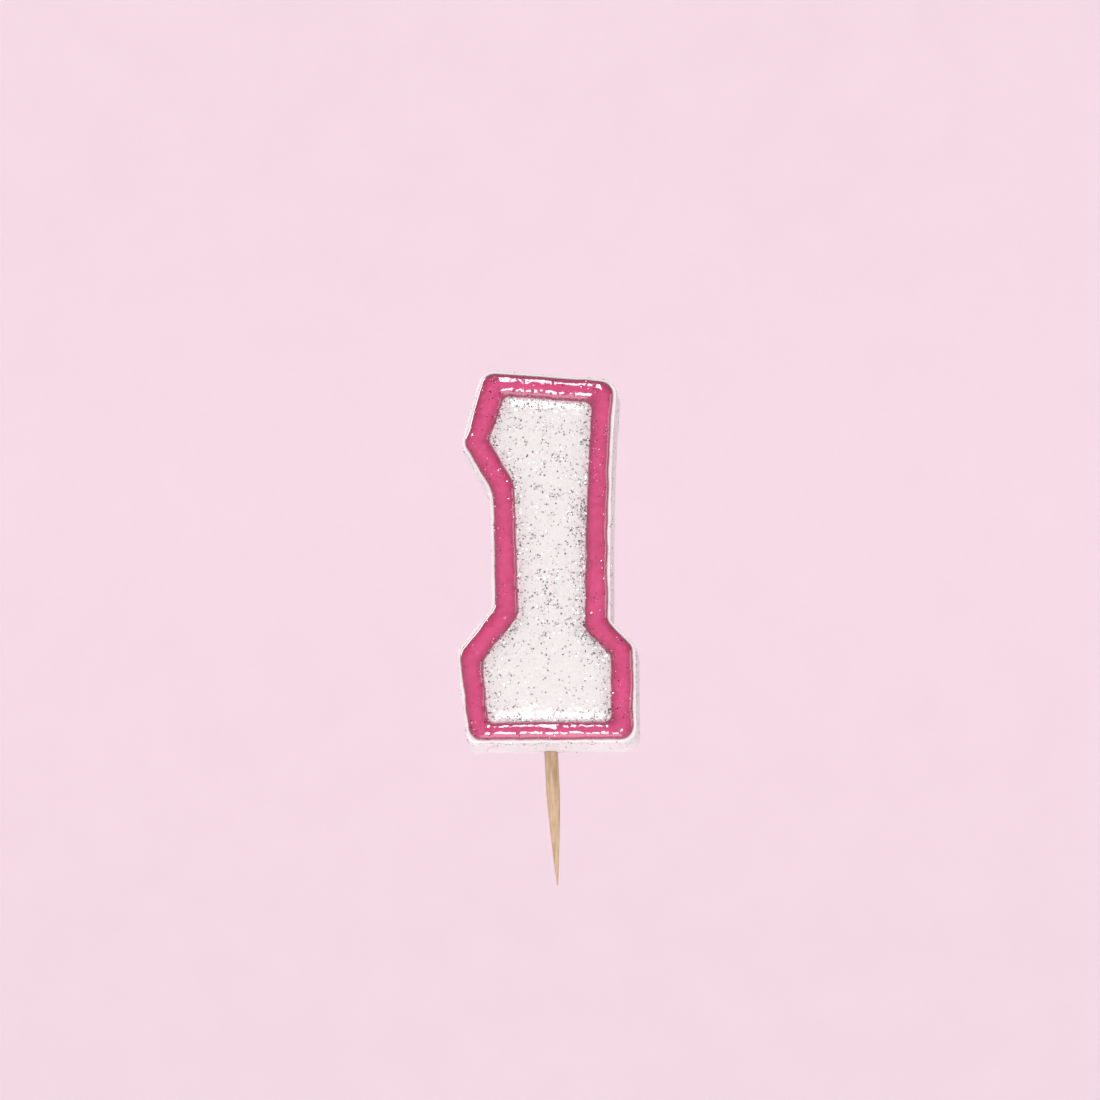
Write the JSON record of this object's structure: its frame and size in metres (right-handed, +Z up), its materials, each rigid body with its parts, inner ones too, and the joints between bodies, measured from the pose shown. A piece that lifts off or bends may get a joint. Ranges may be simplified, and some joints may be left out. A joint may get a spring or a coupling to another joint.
{
  "type": "numeral birthday candle",
  "caption": "Flat cast wax numeral one with a raised coloured bead round a glitter panel, a folded wick, and a pointed wooden pick that holds it up in a cake.",
  "frame": {"origin": "on the pick's axis, where the pick leaves the wax", "axes": "+Z up the numeral, the numeral's face looks along -Y, +X to the numeral's right as seen from its face"},
  "size_m": [0.0269, 0.0112, 0.0759],
  "materials": {
    "white_wax": "white cast paraffin wax, satin, slightly translucent",
    "pink_wax": "glossy translucent deep pink wax",
    "glitter_gel": "milky white gel wax, glossy",
    "glitter": "silver flakes",
    "cotton": "braided cotton, waxed",
    "pick_wood": "plain unvarnished birch or bamboo"
  },
  "bodies": {
    "pick": {"wood_pick": "pick_wood"},
    "numeral": {"wax_body": "white_wax", "border_bead": "pink_wax", "glitter_panel": "glitter_gel", "glitter_flakes": "glitter", "wick": "cotton"},
    "wick_tip": {"wick_end": "cotton"}
  },
  "joints": [
    {"name": "pull_off_pick", "type": "slide", "parent": "pick", "child": "numeral", "axis": [-0.0471, 0, 0.9989], "range_m": [0, 0.021]},
    {"name": "wick_fold", "type": "hinge", "parent": "numeral", "child": "wick_tip", "pos_m": [0, 0.0027, 0.0525], "axis": [1, 0, 0], "range_deg": [0, 160]}
  ]
}
